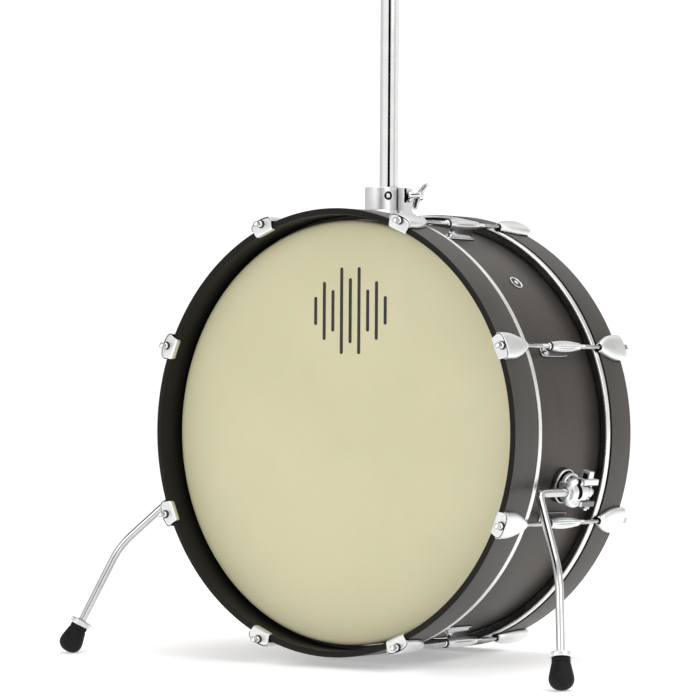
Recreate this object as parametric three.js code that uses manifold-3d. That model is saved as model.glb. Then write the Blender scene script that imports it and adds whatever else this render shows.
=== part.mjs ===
// Small bass drum on two bent spurs, with a round post in a clamp on top of the shell.
// Millimetres. The drum is built with its axis along Y, the front hoop face at y = 0 and the
// axis at z = 0. It is then tipped back onto the rear hoop and the two rubber feet.
import * as THREE from 'three';
import { mergeVertices, toCreasedNormals } from 'three/addons/utils/BufferGeometryUtils.js';
import Module from 'manifold-3d';

const wasm = await Module();
wasm.setup();

// ---- driving dimensions -------------------------------------------------------------------
const GAP = 0.35;                // clearance between neighbouring pieces
const SIDES = 80;                // facets round the drum; 22.5 degrees is a whole number of them
const TILT = 3.06;               // degrees the drum leans back in its playing stance

const SHELL_R = 254;             // 20 inch shell
const SHELL_WALL = 6.5;
const DEPTH = 248;               // over both hoops
const HOOP_R = 268;
const HOOP_INNER_R = 260.2;
const HOOP_WIDTH = { front: 47, rear: 42 };
const HOOP_CHAMFER = 2;
const HEAD_RECESS = 31;          // playing face of each head behind its hoop face
const FILM = 0.8;                // head film thickness
const FILM_COLLAR = 2;           // how far the film's edge turns down over the shell
const BEARING_EDGE_WIDTH = 1.2;  // rounded rim of the shell under the head
const BEARING_EDGE_INSIDE = 5;   // depth of the bevel inside the rim
const BEARING_EDGE_OUTSIDE = 3;
const FLESH_R = 267.2;
const FLESH_INNER_R = 256;
const FLESH_WIDTH = 10;

const LUG_COUNT = 8;
const LUG_FIRST = 22.5;          // degrees above the right-hand side
const ROD_R = 271.5;             // drum axis to tension rod axis
const ROD_THREAD_R = 2.8;
const ROD_SHANK_R = 2.3;
const ROD_END_Y = 112;           // how far a front tension rod reaches into its lug
const LUG_FRONT_Y = 96;
const LUG_LENGTH = 62;
const LUG_WIDTHS = [[0, 5.2], [6, 5.3], [18, 6.5], [32, 6.7], [48, 5.9], [62, 4.2]];
const LUG_PLATE = { x: 7.5, y: 29, thick: 2.6, corner: 3 };
const CLAW_HALF_WIDTH = 16.5;
const CLAW_LENGTH = 45.5;
const CLAW_FLANGE = 2.2;         // thickness of the flange over the hoop face
const CLAW_LIP = 7.5;            // how far the lip reaches inside the hoop
const CLAW_LIP_HALF_WIDTH = 12;
const CLAW_FOLD = 3;             // bevel where the flange folds into the lip
// The claw's dome: distance behind the flange, share of the full width, and height.
const CLAW_DOME = [[12, 1, 9.4], [27, 0.83, 9], [37, 0.6, 8.6], [CLAW_LENGTH, 0.3, 7.6]];
// Half of the dome's section, as shares of its width and height, and mirrored.
const CLAW_ARCH = [[-1, 0], [-1, 0.3], [-0.66, 0.8], [-0.2, 1]];
const WASHER_R = 4.8;
const KEY_HALF = 3.1;            // square key head of a tension rod
const KEY_LENGTH = 10.4;         // from the claw to the end of the key head

const POST_R = 11.1;             // 7/8 inch post
const POST_WALL = 1.6;
const POST_Y = 117;
const POST_TOP = 552;
const POST_BOTTOM = 118;
const BRACKET_TOP = 297;
const BRACKET_HALF_WIDTH = 20;
const BRACKET_LOBE = 15;         // lobe centres ahead of and behind the post
const SADDLE_X = 44;             // half width and half length of the bracket's foot
const SADDLE_Y = 33;
const SADDLE_TOP = 265;
const JAW = { from: 12, to: 29, half: 9, bottom: 270 };
const SPLIT = { front: -7.4, back: -2.6, bottom: 278.5 };
const WING_X = 45;
const WING_Y = 3.2;              // wing bolt axis behind the post axis
const WING_Z = 286;
const WING_STEM_R = 2.9;
const WING_HUB_R = 6.2;
const WING_LEAN = 38;            // degrees the upper wing leans to the rear
// Half of the wing's outline, along the bolt and outwards from it.
const WING = [[-3.5, 0], [3.5, 0], [4.4, 9], [3.8, 17], [0, 20.5], [-3.2, 17], [-3, 9]];

const SPUR_ANGLE = -13.5;        // degrees below the right-hand side
const SPUR_R = 286.2;            // drum axis to the straight part of the spur
const SPUR_ROD_R = 5;
const SPUR_BASE_Y = 127;
const SPUR_DISC_R = 21;
const SPUR_DISC_TOP = 262;
const RATCHET_R = 18;
const RATCHET_BOTTOM = 262.4;
const RATCHET_TOP = 269;
const PIVOT_R = 5;
const EYE_R = 11.5;              // barrel of the clamp round the rod
const CHEEK_R = 17.5;            // round cheek on the outside of the clamp
const CHEEK_Y = 105;
const EARS = [[-17, -9], [9, 16]];
const KEY_BLOCK = { x0: -26, x1: -13, y0: 124, y1: 133, low: -5.5, high: 6.5 };
const KEY_POCKET = { half: 3, depth: 5 };
const CHEEK_GROOVE = { half: 3.8, end: 6, depth: 2.4 };
const RING_R = 7.8;
const RING_WIDTH = 12;
const CLAMP_FRONT_Y = 91;
const CLAMP_BACK_Y = 124;
const CLAMP_EAR_Y = 143;         // rear end of the two bolt ears
const SPUR_STRAIGHT = 110;       // from the bend to the rear end
const LEG_OUT_1 = 108.4;         // first leg: away from the straight part, and forward
const LEG_FORWARD_1 = 48.4;
const LEG_OUT_2 = 98.1;          // second leg down to the rubber foot
const LEG_FORWARD_2 = 29;
const LEG_KNEE = 20.9;           // degrees the second leg turns down from the first
const BEND_REACH = 13;           // length of straight rod that each bend takes up
const KNEE_REACH = 15;
const LEG_IN_FOOT = 16;          // how far the rod reaches into its foot
const FOOT_TOP_R = 10.8;
const FOOT_R = 15.2;
const FOOT_LENGTH = 37;
const FOOT_BORE = 24;            // depth of the hole for the rod
const NUT_R = 13.5;
const NUT_HEIGHT = 6;
// Each spur is set by hand: swing below the horizontal, and where its bend stands along Y.
const SPURS = [
  { name: 'right', side: 1, swing: 55.8, bendY: 33.2 },
  { name: 'left', side: -1, swing: 48, bendY: 77.4 },
];

const radians = THREE.MathUtils.degToRad;

// ---- materials ----------------------------------------------------------------------------
const LOOKS = {
  satin: { color: 0x57504e, roughness: 0.5, metalness: 0.1 },
  hoopBlack: { color: 0x2c2a27, roughness: 0.45, metalness: 0 },
  film: { color: 0xd6d0ab, roughness: 0.6, metalness: 0 },
  aluminium: { color: 0xc9c7c3, roughness: 0.35, metalness: 0.9 },
  chrome: { color: 0xdcdde0, roughness: 0.15, metalness: 1 },
  satinChrome: { color: 0xcfd0d4, roughness: 0.3, metalness: 1 },
  rubber: { color: 0x17171a, roughness: 0.85, metalness: 0 },
};

// ---- solids -------------------------------------------------------------------------------
function solidFromArrays(points, triangles) {
  let volume = 0;
  const a = new THREE.Vector3();
  const b = new THREE.Vector3();
  const c = new THREE.Vector3();
  for (let i = 0; i < triangles.length; i += 3) {
    a.fromArray(points, triangles[i] * 3);
    b.fromArray(points, triangles[i + 1] * 3);
    c.fromArray(points, triangles[i + 2] * 3);
    volume += a.dot(b.cross(c));
  }
  const facing = [...triangles];
  if (volume < 0) {
    facing.reverse();
  }
  return new wasm.Manifold(new wasm.Mesh({
    numProp: 3,
    vertProperties: new Float32Array(points),
    triVerts: new Uint32Array(facing),
  }));
}

function solidFromGeometry(source) {
  const bare = new THREE.BufferGeometry();
  bare.setAttribute('position', source.getAttribute('position'));
  if (source.index) {
    bare.setIndex(source.index);
  }
  const merged = mergeVertices(bare, 1e-3);
  const triangles = [];
  for (let i = 0; i < merged.index.count; i += 3) {
    const [a, b, c] = [0, 1, 2].map((k) => merged.index.getX(i + k));
    if (a !== b && b !== c && c !== a) {
      triangles.push(a, b, c);
    }
  }
  return solidFromArrays([...merged.getAttribute('position').array], triangles);
}

// A closed skin through rings of equal length, with a fan over each end.
function loft(rings) {
  const count = rings[0].length;
  const points = rings.flat(2);
  const triangles = [];
  for (let r = 0; r + 1 < rings.length; r += 1) {
    for (let i = 0; i < count; i += 1) {
      const j = (i + 1) % count;
      const low = r * count;
      const high = low + count;
      triangles.push(low + i, low + j, high + j, low + i, high + j, high + i);
    }
  }
  const last = (rings.length - 1) * count;
  for (let i = 1; i + 1 < count; i += 1) {
    triangles.push(0, i + 1, i, last, last + i, last + i + 1);
  }
  return solidFromArrays(points, triangles);
}

// A profile of [radius, y] points turned about the Y axis.
function turned(profile, sides) {
  const points = profile.map(([radius, y]) => new THREE.Vector2(radius, y));
  return solidFromGeometry(new THREE.LatheGeometry(points, sides));
}

function ringProfile(inner, outer, y0, y1, chamfer = 0) {
  const c = chamfer;
  const corners = c > 0
    ? [[inner, y0], [outer - c, y0], [outer, y0 + c], [outer, y1], [inner, y1]]
    : [[inner, y0], [outer, y0], [outer, y1], [inner, y1]];
  return [...corners, corners[0]];
}

function box(x0, x1, y0, y1, z0, z1) {
  const geometry = new THREE.BoxGeometry(x1 - x0, y1 - y0, z1 - z0);
  geometry.translate((x0 + x1) / 2, (y0 + y1) / 2, (z0 + z1) / 2);
  return solidFromGeometry(geometry);
}

// A cylinder from one point to another.
function rod(radius, from, to, sides, endRadius = radius) {
  const start = new THREE.Vector3(...from);
  const along = new THREE.Vector3(...to).sub(start);
  const geometry = new THREE.CylinderGeometry(endRadius, radius, along.length(), sides);
  geometry.translate(0, along.length() / 2, 0);
  const up = new THREE.Vector3(0, 1, 0);
  geometry.applyQuaternion(new THREE.Quaternion().setFromUnitVectors(up, along.normalize()));
  geometry.translate(start.x, start.y, start.z);
  return solidFromGeometry(geometry);
}

function join(...solids) {
  return solids.reduce((whole, next) => whole.add(next));
}

// ---- placing ------------------------------------------------------------------------------
// Pieces round the drum are built at the top (local Z is radial) and carried round to an angle.
function carriedTo(angle) {
  return new THREE.Matrix4().makeRotationY(radians(90 - angle));
}

// Swaps front and rear by half a turn about the radial line at mid depth.
const FRONT_TO_REAR = new THREE.Matrix4()
  .makeTranslation(0, DEPTH, 0)
  .multiply(new THREE.Matrix4().makeRotationZ(Math.PI));
const LEFT_TO_RIGHT = new THREE.Matrix4().makeScale(-1, 1, 1);

function placed(solid, matrix) {
  return solid.transform([...matrix.elements]);
}

// ---- shell, heads and hoops ---------------------------------------------------------------
function shell() {
  const edge = HEAD_RECESS + FILM + GAP;
  const rim = SHELL_R - 1.4;
  const front = [
    [SHELL_R - SHELL_WALL, edge + BEARING_EDGE_INSIDE],
    [rim - BEARING_EDGE_WIDTH, edge],
    [rim, edge],
    [SHELL_R, edge + BEARING_EDGE_OUTSIDE],
  ];
  const rear = front.map(([radius, y]) => [radius, DEPTH - y]).reverse();
  const wall = turned([...front, ...rear, front[0]], SIDES);
  const postHole = rod(POST_R + POST_WALL, [0, POST_Y, SHELL_R / 2], [0, POST_Y, BRACKET_TOP], 24);
  return wall.subtract(postHole);
}

// The film lies flat over the shell, and its rim turns a little way down over the edge.

function head() {
  const face = HEAD_RECESS;
  const rim = SHELL_R + GAP + 0.05;
  const outer = rim + FILM;
  const outside = [[0, face], [rim - 0.4, face], [outer, face + FILM], [outer, face + FILM_COLLAR]];
  const inside = [[rim, face + FILM_COLLAR], [rim, face + FILM], [0, face + FILM]];
  return turned([...outside, ...inside], SIDES);
}

function fleshHoop(hoopWidth) {
  const y0 = hoopWidth + GAP;
  return turned(ringProfile(FLESH_INNER_R, FLESH_R, y0, y0 + FLESH_WIDTH), SIDES);
}

function hoop(width) {
  return turned(ringProfile(HOOP_INNER_R, HOOP_R, 0, width, HOOP_CHAMFER), SIDES);
}

// ---- claw, tension rod and lug, all at the top of the drum ---------------------------------
function clawHook() {
  const seat = HOOP_R + GAP + 0.1;
  const low = HOOP_INNER_R - 2.6;
  const front = -CLAW_FLANGE - GAP;
  const arch = [...CLAW_ARCH, ...CLAW_ARCH.map(([x, z]) => [-x, z]).reverse()];
  const stations = [[front, 0.97, 9.2], ...CLAW_DOME];
  const dome = loft(stations.map(([y, width, height]) => (
    arch.map(([x, z]) => [x * width * CLAW_HALF_WIDTH, y, seat + z * height]))));
  const side = CLAW_HALF_WIDTH * 0.94;
  const flange = loft([[front, low + CLAW_FOLD], [-GAP, low]].map(([y, z]) => [
    [-CLAW_LIP_HALF_WIDTH, y, z],
    [CLAW_LIP_HALF_WIDTH, y, z],
    [side, y, z + 4],
    [side, y, seat + 3],
    [-side, y, seat + 3],
    [-side, y, z + 4],
  ]));
  const lip = box(
    -CLAW_LIP_HALF_WIDTH, CLAW_LIP_HALF_WIDTH, -GAP - 1, CLAW_LIP, low, HOOP_INNER_R - 0.9);
  const slotHalf = ROD_THREAD_R + 0.5;
  const slot = box(-slotHalf, slotHalf, front - 5, CLAW_LENGTH + 2, seat - 2, ROD_R + slotHalf);
  return join(dome, flange, lip).subtract(slot);
}

function tensionRod() {
  const seat = -CLAW_FLANGE - GAP * 2;
  const collar = seat - 4;
  const shankEnd = 60;
  const shank = turned([
    [0, collar],
    [WASHER_R - 0.8, collar],
    [WASHER_R, collar + 2],
    [WASHER_R, seat],
    [ROD_SHANK_R, seat],
    [ROD_SHANK_R, shankEnd],
    [ROD_THREAD_R, shankEnd + 2],
    [ROD_THREAD_R, ROD_END_Y],
    [0, ROD_END_Y],
  ], 8);
  const key = box(-KEY_HALF, KEY_HALF, seat - KEY_LENGTH, collar + 0.5, -KEY_HALF, KEY_HALF);
  return placed(join(shank, key), new THREE.Matrix4().makeTranslation(0, 0, ROD_R));
}

function lug() {
  const bore = (ROD_THREAD_R + GAP) / Math.cos(Math.PI / 8);
  const outline = LUG_WIDTHS.map(([y, radius]) => [radius, LUG_FRONT_Y + y]);
  const ends = [[0, LUG_FRONT_Y], [0, LUG_FRONT_Y + LUG_LENGTH]];
  const barrel = turned([ends[0], ...outline, ends[1]], 10);
  const standing = placed(barrel, new THREE.Matrix4().makeTranslation(0, 0, ROD_R));
  const middle = LUG_FRONT_Y + LUG_LENGTH / 2;
  const foot = SHELL_R + GAP;
  const stem = loft([[foot + 1, 5.5, 22], [foot + 5, 4, 16], [ROD_R - 3.5, 3.6, 15]]
    .map(([z, x, y]) => [
      [-x, middle - y, z],
      [x, middle - y, z],
      [x, middle + y, z],
      [-x, middle + y, z],
    ]));
  const { corner } = LUG_PLATE;
  const plate = loft([[foot, 0], [foot + LUG_PLATE.thick, 1]].map(([z, inset]) => {
    const x = LUG_PLATE.x - inset;
    const y = LUG_PLATE.y - inset;
    const quarter = [[x - corner, y], [x, y - corner]];
    const half = [...quarter, ...quarter.map(([a, b]) => [a, -b]).reverse()];
    const whole = [...half, ...half.map(([a, b]) => [-a, b]).reverse()];
    return whole.map(([a, b]) => [a, middle + b, z]);
  }));
  const hole = rod(bore, [0, 0, ROD_R], [0, DEPTH, ROD_R], 8);
  return join(standing, stem, plate).subtract(hole);
}

// ---- post, its bracket and its wing bolt ----------------------------------------------------
function stadium(halfWidth, lobe, steps) {
  const outline = [];
  for (let i = 0; i <= steps; i += 1) {
    const turn = (Math.PI * i) / steps;
    outline.push([halfWidth * Math.cos(turn), lobe + halfWidth * Math.sin(turn)]);
  }
  return [...outline, ...outline.map(([x, y]) => [-x, -y])];
}

function upright(outline, levels) {
  return loft(levels.map(([z, grow]) => outline.map(([x, y]) => [x * grow, POST_Y + y * grow, z])));
}

function postBracket() {
  const outline = stadium(BRACKET_HALF_WIDTH, BRACKET_LOBE, 8);
  const tower = upright(outline, [[256, 1], [BRACKET_TOP - 2, 1], [BRACKET_TOP, 0.93]]);
  const saddle = loft([[246, 0], [SADDLE_TOP - 4, 0], [SADDLE_TOP, 3.5]].map(([z, inset]) => {
    const x = SADDLE_X - inset;
    const y = SADDLE_Y - inset;
    const half = [[x * 0.6, -y], [x, -y / 2], [x, y / 2], [x * 0.6, y]];
    const whole = [...half, ...half.map(([a, b]) => [-a, b]).reverse()];
    return whole.map(([a, b]) => [a, POST_Y + b, z]);
  }));
  const jaw = box(
    JAW.from, JAW.to, POST_Y - JAW.half, POST_Y + JAW.half, JAW.bottom, BRACKET_TOP - 0.6);
  const bore = rod(POST_R + GAP + 0.1, [0, POST_Y, SHELL_R - 20], [0, POST_Y, BRACKET_TOP + 20], 24);
  const split = box(
    8, JAW.to + 10, POST_Y + SPLIT.front, POST_Y + SPLIT.back, SPLIT.bottom, BRACKET_TOP + 20);
  const boltLine = POST_Y + WING_Y;
  const boltHole = rod(WING_STEM_R + 0.5, [19, boltLine, WING_Z], [40, boltLine, WING_Z], 8);
  return join(tower, saddle, jaw).subtract(shellBed()).subtract(bore).subtract(split)
    .subtract(boltHole);
}

// The shell's own outside, with clearance, for the pieces that sit on it.
function shellBed() {
  return rod(SHELL_R + GAP, [0, 0, 0], [0, DEPTH, 0], SIDES);
}

function wingBolt() {
  const hubStart = 29.6;
  const stem = rod(WING_STEM_R, [20, 0, 0], [34, 0, 0], 8);
  const hub = rod(WING_HUB_R, [hubStart, 0, 0], [WING_X + 3, 0, 0], 10, WING_HUB_R - 1.4);
  const blade = (sign) => loft([-1.5, 1.5].map((y) => (
    WING.map(([x, z]) => [WING_X - 1.6 + x + Math.abs(z) * 0.12, y, sign * z]))));
  const turnedUp = new THREE.Matrix4().makeRotationX(radians(-WING_LEAN));
  const wings = placed(join(blade(1), blade(-1)), turnedUp);
  const place = new THREE.Matrix4().makeTranslation(0, POST_Y + WING_Y, WING_Z);
  return placed(join(stem, hub, wings), place);
}

function post() {
  const tube = rod(POST_R, [0, POST_Y, POST_BOTTOM], [0, POST_Y, POST_TOP - 1], 24);
  const crown = rod(POST_R, [0, POST_Y, POST_TOP - 1.01], [0, POST_Y, POST_TOP], 24, POST_R - 1);
  const inside = rod(POST_R - POST_WALL, [0, POST_Y, POST_BOTTOM - 1], [0, POST_Y, POST_TOP - 4], 24);
  return join(tube, crown).subtract(inside);
}

// ---- spur bracket, built at the top of the drum ---------------------------------------------
// A round bar standing on the radial line through the spur bracket.
function standing(radius, z0, z1, sides, endRadius = radius) {
  return rod(radius, [0, SPUR_BASE_Y, z0], [0, SPUR_BASE_Y, z1], sides, endRadius);
}

// A round bar along the rod's line.
function lengthwise(radius, y0, y1, sides) {
  return rod(radius, [0, y0, SPUR_R], [0, y1, SPUR_R], sides);
}

function spurBase() {
  const disc = standing(SPUR_DISC_R, SHELL_R - 4, SPUR_DISC_TOP - 1.5, 24);
  const rim = standing(SPUR_DISC_R, SPUR_DISC_TOP - 1.6, SPUR_DISC_TOP, 24, SPUR_DISC_R - 1.5);
  const pin = standing(PIVOT_R, SPUR_DISC_TOP - 1, RATCHET_TOP - 1, 12);
  return join(disc.add(rim).subtract(shellBed()), pin);
}

function spurClamp() {
  const ratchet = standing(RATCHET_R, RATCHET_BOTTOM, RATCHET_TOP, 20);
  const neck = box(-9, 9, CLAMP_FRONT_Y + 10, CLAMP_BACK_Y, RATCHET_TOP - 2, SPUR_R - 5);
  const eye = lengthwise(EYE_R, CLAMP_FRONT_Y, CLAMP_BACK_Y, 16);
  const cheek = rod(CHEEK_R, [0, CHEEK_Y, SPUR_R - 3], [0, CHEEK_Y, SPUR_R + 7], 20, CHEEK_R - 2);
  const ears = EARS.map(([x0, x1]) => (
    box(x0, x1, CLAMP_BACK_Y - 10, CLAMP_EAR_Y, SPUR_R - 7, SPUR_R + 9)));
  const { x0, x1, y0, y1, low, high } = KEY_BLOCK;
  const keyBlock = box(x0, x1, y0, y1, SPUR_R + low, SPUR_R + high);
  const pocketX = (x0 + x1) / 2;
  const pocketZ = SPUR_R + (low + high) / 2;
  const { half, depth } = KEY_POCKET;
  const pocket = box(
    pocketX - half, pocketX + half, y0 - 1, y0 + depth, pocketZ - half, pocketZ + half);
  const faceZ = SPUR_R + 7;
  const groove = box(
    -CHEEK_R - 1, CHEEK_GROOVE.end, CHEEK_Y - CHEEK_GROOVE.half, CHEEK_Y + CHEEK_GROOVE.half,
    faceZ - CHEEK_GROOVE.depth, faceZ + 1);
  const bore = lengthwise(SPUR_ROD_R + GAP + 0.2, 60, 160, 16);
  const socket = standing(PIVOT_R + 0.6, SHELL_R, RATCHET_TOP - 0.5, 12);
  return join(ratchet, neck, eye, cheek, ...ears, keyBlock).subtract(pocket).subtract(groove)
    .subtract(bore).subtract(socket);
}

function spurRing() {
  const y0 = CLAMP_BACK_Y + GAP;
  const collar = lengthwise(RING_R, y0, y0 + RING_WIDTH, 16);
  return collar.subtract(lengthwise(SPUR_ROD_R + GAP, 60, 160, 16));
}

// ---- spur leg: a bent rod, worked out for the right-hand side --------------------------------
class BentLine extends THREE.Curve {
  constructor(points) {
    super();
    this.points = points;
  }

  getPoint(t) {
    const place = Math.min(t, 1) * (this.points.length - 1);
    const first = Math.min(Math.floor(place), this.points.length - 2);
    return this.points[first].clone().lerp(this.points[first + 1], place - first);
  }

  getPointAt(u) {
    return this.getPoint(u);
  }

  getTangentAt(u) {
    const place = Math.round(u * (this.points.length - 1));
    const before = this.points[Math.max(place - 1, 0)];
    const after = this.points[Math.min(place + 1, this.points.length - 1)];
    return after.clone().sub(before).normalize();
  }
}

// Rounds a corner between two straight runs with a quadratic bend of the given reach.
function bend(before, corner, after, reach, steps) {
  const start = corner.clone().add(before.clone().sub(corner).setLength(reach));
  const end = corner.clone().add(after.clone().sub(corner).setLength(reach));
  return new THREE.QuadraticBezierCurve3(start, corner, end).getPoints(steps);
}

function legPoints(spur) {
  const line = radians(SPUR_ANGLE);
  const apex = new THREE.Vector3(SPUR_R * Math.cos(line), spur.bendY, SPUR_R * Math.sin(line));
  const outward = (degrees, reach, forward) => new THREE.Vector3(
    reach * Math.cos(radians(degrees)), -forward, -reach * Math.sin(radians(degrees)));
  const rear = apex.clone().add(new THREE.Vector3(0, SPUR_STRAIGHT, 0));
  const knee = apex.clone().add(outward(spur.swing, LEG_OUT_1, LEG_FORWARD_1));
  const lowerLeg = outward(spur.swing + LEG_KNEE, LEG_OUT_2, LEG_FORWARD_2);
  const ankle = knee.clone().add(lowerLeg);
  return { rear, apex, knee, ankle, down: lowerLeg.normalize() };
}

function spurRod(spur, travel) {
  const { rear, apex, knee, ankle, down } = legPoints(spur);
  const end = ankle.clone().addScaledVector(down, LEG_IN_FOOT + travel);
  const path = [
    rear,
    ...bend(rear, apex, knee, BEND_REACH, 7),
    ...bend(apex, knee, ankle, KNEE_REACH, 4),
    end,
  ];
  const circle = new THREE.Shape().absarc(0, 0, SPUR_ROD_R, 0, Math.PI * 2, false);
  const geometry = new THREE.ExtrudeGeometry(circle, {
    steps: path.length - 1, curveSegments: 5, bevelEnabled: false, extrudePath: new BentLine(path),
  });
  return solidFromGeometry(geometry);
}

// The foot stands on the origin with its axis along +Y, from the lock nut down to the tip.
function rubberFoot() {
  const hole = SPUR_ROD_R + GAP + 0.2;
  const y = NUT_HEIGHT;
  return turned([
    [hole, 0],
    [NUT_R, 0],
    [NUT_R, y],
    [FOOT_TOP_R, y + 0.6],
    [FOOT_TOP_R + 1, y + 9],
    [FOOT_R, y + 20],
    [FOOT_R, y + 26],
    [FOOT_R - 2.2, y + 31],
    [FOOT_R - 7, y + FOOT_LENGTH - 1.6],
    [0, y + FOOT_LENGTH],
    [0, FOOT_BORE],
    [hole, FOOT_BORE],
    [hole, 0],
  ], 16);
}

function footMatrix(spur, travel) {
  const { ankle, down } = legPoints(spur);
  const turn = new THREE.Quaternion().setFromUnitVectors(new THREE.Vector3(0, 1, 0), down);
  const start = ankle.clone().addScaledVector(down, travel - NUT_HEIGHT / 2);
  return new THREE.Matrix4().compose(start, turn, new THREE.Vector3(1, 1, 1));
}

// ---- the whole drum, level ------------------------------------------------------------------
const tipBack = new THREE.Matrix4().makeRotationX(radians(-TILT));

function lowest(solid) {
  return placed(solid, tipBack).boundingBox().min[2];
}

const pieces = [];

function add(name, look, solid, matrix = new THREE.Matrix4()) {
  pieces.push({ name, look, solid: placed(solid, matrix) });
}

add('shell', 'satin', shell());
for (const [end, matrix] of [['front', new THREE.Matrix4()], ['rear', FRONT_TO_REAR]]) {
  add(`${end}_hoop`, 'hoopBlack', hoop(HOOP_WIDTH[end]), matrix);
  add(`${end}_head`, 'film', head(), matrix);
  add(`${end}_flesh_hoop`, 'aluminium', fleshHoop(HOOP_WIDTH[end]), matrix);
}

for (let i = 0; i < LUG_COUNT; i += 1) {
  const place = carriedTo(LUG_FIRST + (i * 360) / LUG_COUNT);
  const behind = place.clone().multiply(FRONT_TO_REAR);
  add(`lug_${i + 1}`, 'satinChrome', lug(), place);
  add(`front_claw_${i + 1}`, 'satinChrome', clawHook(), place);
  add(`rear_claw_${i + 1}`, 'satinChrome', clawHook(), behind);
  add(`front_tension_rod_${i + 1}`, 'chrome', tensionRod(), place);
  add(`rear_tension_rod_${i + 1}`, 'chrome', tensionRod(), behind);
}

add('post_bracket', 'satinChrome', postBracket());
add('post_wing_bolt', 'chrome', wingBolt());
add('post', 'chrome', post());

const floor = lowest(hoop(HOOP_WIDTH.rear).transform([...FRONT_TO_REAR.elements]));
for (const spur of SPURS) {
  const mirror = spur.side > 0 ? new THREE.Matrix4() : LEFT_TO_RIGHT;
  const bracketPlace = mirror.clone().multiply(carriedTo(SPUR_ANGLE));
  // The foot is screwed along its leg until it stands on the same floor as the rear hoop.
  let travel = 0;
  for (let pass = 0; pass < 3; pass += 1) {
    const drop = lowest(placed(rubberFoot(), footMatrix(spur, travel))) - floor;
    travel += drop / -legPoints(spur).down.clone().applyMatrix4(tipBack).z;
  }
  add(`spur_base_${spur.name}`, 'satinChrome', spurBase(), bracketPlace);
  add(`spur_clamp_${spur.name}`, 'satinChrome', spurClamp(), bracketPlace);
  add(`spur_ring_${spur.name}`, 'satinChrome', spurRing(), bracketPlace);
  add(`spur_rod_${spur.name}`, 'chrome', spurRod(spur, travel), mirror);
  const foot = mirror.clone().multiply(footMatrix(spur, travel));
  add(`spur_foot_${spur.name}`, 'rubber', rubberFoot(), foot);
}

// ---- tip back, stand on the floor and centre -------------------------------------------------
const bounds = new THREE.Box3();
for (const piece of pieces) {
  piece.solid = placed(piece.solid, tipBack);
  const { min, max } = piece.solid.boundingBox();
  bounds.expandByPoint(new THREE.Vector3(...min));
  bounds.expandByPoint(new THREE.Vector3(...max));
}
const centre = bounds.getCenter(new THREE.Vector3());

function meshOf({ name, look, solid }) {
  const { vertProperties, triVerts } = solid.getMesh();
  const geometry = new THREE.BufferGeometry();
  geometry.setAttribute('position', new THREE.BufferAttribute(vertProperties, 3));
  geometry.setIndex(new THREE.BufferAttribute(triVerts, 1));
  geometry.translate(-centre.x, -centre.y, -bounds.min.z);
  const mesh = new THREE.Mesh(
    toCreasedNormals(geometry, radians(32)), new THREE.MeshStandardMaterial(LOOKS[look]));
  mesh.name = name;
  return mesh;
}

const drum = new THREE.Group();
drum.name = 'bass_drum';
for (const piece of pieces) {
  drum.add(meshOf(piece));
}
export default drum;
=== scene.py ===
import math

import bmesh
import bpy
from mathutils import Matrix, Vector


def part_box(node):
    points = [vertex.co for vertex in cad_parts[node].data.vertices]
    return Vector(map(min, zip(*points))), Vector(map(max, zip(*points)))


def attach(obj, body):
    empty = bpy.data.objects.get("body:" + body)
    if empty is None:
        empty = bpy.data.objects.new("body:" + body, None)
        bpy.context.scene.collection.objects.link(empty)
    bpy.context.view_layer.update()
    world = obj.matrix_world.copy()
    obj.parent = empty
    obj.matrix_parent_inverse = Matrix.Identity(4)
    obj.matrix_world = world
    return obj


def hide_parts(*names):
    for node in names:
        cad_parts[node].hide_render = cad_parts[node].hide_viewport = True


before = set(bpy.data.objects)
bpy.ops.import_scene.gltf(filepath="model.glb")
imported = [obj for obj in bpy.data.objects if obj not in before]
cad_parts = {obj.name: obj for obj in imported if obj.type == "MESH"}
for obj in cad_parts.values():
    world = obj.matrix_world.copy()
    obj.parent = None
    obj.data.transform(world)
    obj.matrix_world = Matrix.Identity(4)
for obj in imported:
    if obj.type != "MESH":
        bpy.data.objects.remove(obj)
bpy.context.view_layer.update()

# Lengths are in millimetres in the drum's own frame: its axis is Y, the front hoop face is y = 0,
# the axis is z = 0. DRUM carries that frame into the row frame, where the drum leans back.
MM = 0.001
TILT = math.radians(3.06)
DEPTH = 248
SHELL_R = 254
HOOP_R = 268
HOOP_INNER_R = 260.2
HOOP_WIDTH = {"front": 47, "rear": 42}
FLESH_WIDTH = 10
FLESH_GAP = 0.35
HEAD_RECESS = 31
ROD_R = 271.5
LUG_FRONT = 96
LUG_LENGTH = 62
POST_Y = 117
POST_R = 11.1
POST_TOP = 552
POST_BOTTOM = 118
BRACKET_TOP = 297
WING_Y = 120.2
WING_Z = 286
SPUR_ANGLE = -13.5
SPUR_R = 286.2
SPUR_BASE_Y = 127
CLAMP_FRONT = 91
CLAMP_BACK = 124
SPUR_STRAIGHT = 110
LEGS = {"right": (1, 55.8, 33.2), "left": (-1, 48.0, 77.4)}
SIDES = 192

shell_low, shell_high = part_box("shell")
lean = Matrix.Rotation(-TILT, 4, "X")
DRUM = Matrix.Translation((shell_low + shell_high) / 2 - lean @ Vector((0, DEPTH / 2 * MM, 0))) @ lean


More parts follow.
